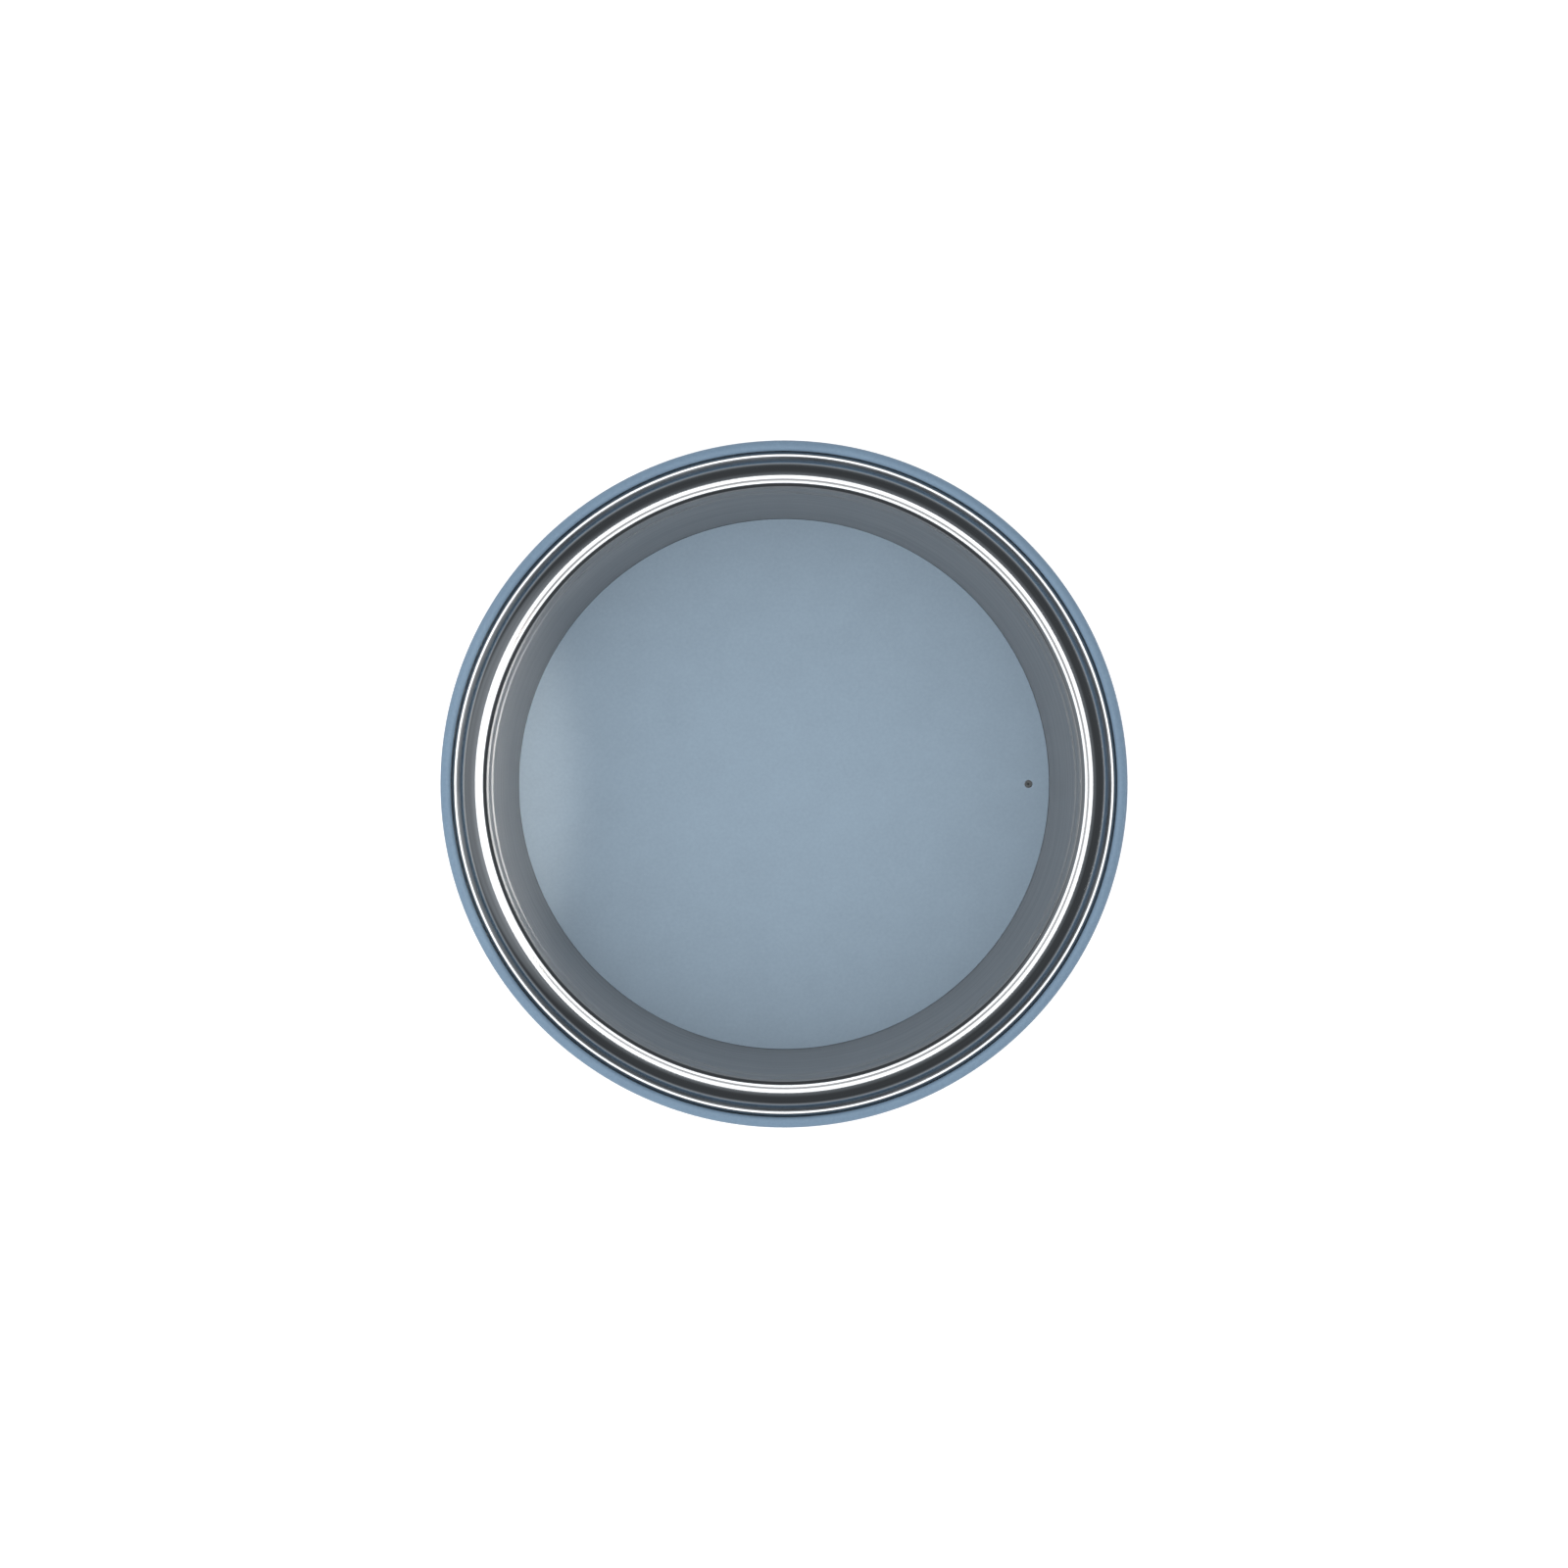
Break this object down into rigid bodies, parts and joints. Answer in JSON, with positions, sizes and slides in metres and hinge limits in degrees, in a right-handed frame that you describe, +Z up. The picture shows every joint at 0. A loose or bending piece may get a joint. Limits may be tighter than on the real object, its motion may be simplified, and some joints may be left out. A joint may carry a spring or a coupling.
{
  "type": "insulated lunch pot",
  "caption": "Round double-walled lunch pot, closed: steel food vessel, lift-out stopper with vent valve, and a screw lid with a polished rim round a recessed blue disc.",
  "frame": {"origin": "middle of the round face that the pot stands on, on the surface it stands on", "axes": "+Z up along the pot's axis, +X towards the small vent hole in the lid's disc"},
  "size_m": [0.1, 0.1, 0.1284],
  "materials": {
    "blue_coat": "matte",
    "polished_steel": "polished",
    "drawn_steel": "satin",
    "foil": "polished",
    "sealing_metal": "satin",
    "blue_plastic": "satin",
    "grey_plastic": "satin",
    "silicone": "matte",
    "foam": "matte",
    "adhesive": "satin"
  },
  "bodies": {
    "pot": {"outer_shell": "blue_coat", "inner_liner": "drawn_steel", "foil_sleeve": "foil", "foil_disc": "foil", "base_pan": "drawn_steel", "seal_plug": "sealing_metal", "getter_clip": "drawn_steel", "getter_pill": "sealing_metal", "base_cap": "blue_plastic", "base_pad": "silicone"},
    "stopper": {"stopper_cup": "grey_plastic", "stopper_cover": "grey_plastic", "stopper_foam": "foam", "stopper_gasket": "silicone", "valve_seat": "grey_plastic"},
    "valve": {"valve_poppet": "silicone"},
    "washer": {"lid_washer": "silicone"},
    "lid": {"lid_shell": "blue_coat", "lid_core": "grey_plastic", "lid_trim_pan": "polished_steel", "lid_inlay": "blue_coat", "inlay_bond": "adhesive", "lid_foam": "foam", "vent_bush": "grey_plastic"}
  },
  "joints": [
    {"name": "stopper_lift", "type": "slide", "parent": "pot", "child": "stopper", "axis": [0, 0, 1], "range_m": [0, 0.06]},
    {"name": "valve_lift", "type": "slide", "parent": "stopper", "child": "valve", "axis": [0, 0, 1], "range_m": [0, 0.0008]},
    {"name": "lid_rise", "type": "slide", "parent": "stopper", "child": "washer", "axis": [0, 0, 1], "range_m": [0, 0.0084]},
    {"name": "lid_turn", "type": "hinge", "parent": "washer", "child": "lid", "pos_m": [0, 0, 0.1137], "axis": [0, 0, 1], "range_deg": [0, 300]}
  ],
  "couplings": [
    {"joint": "lid_rise", "follows": "lid_turn", "m_per_rad": 0.0015915}
  ]
}
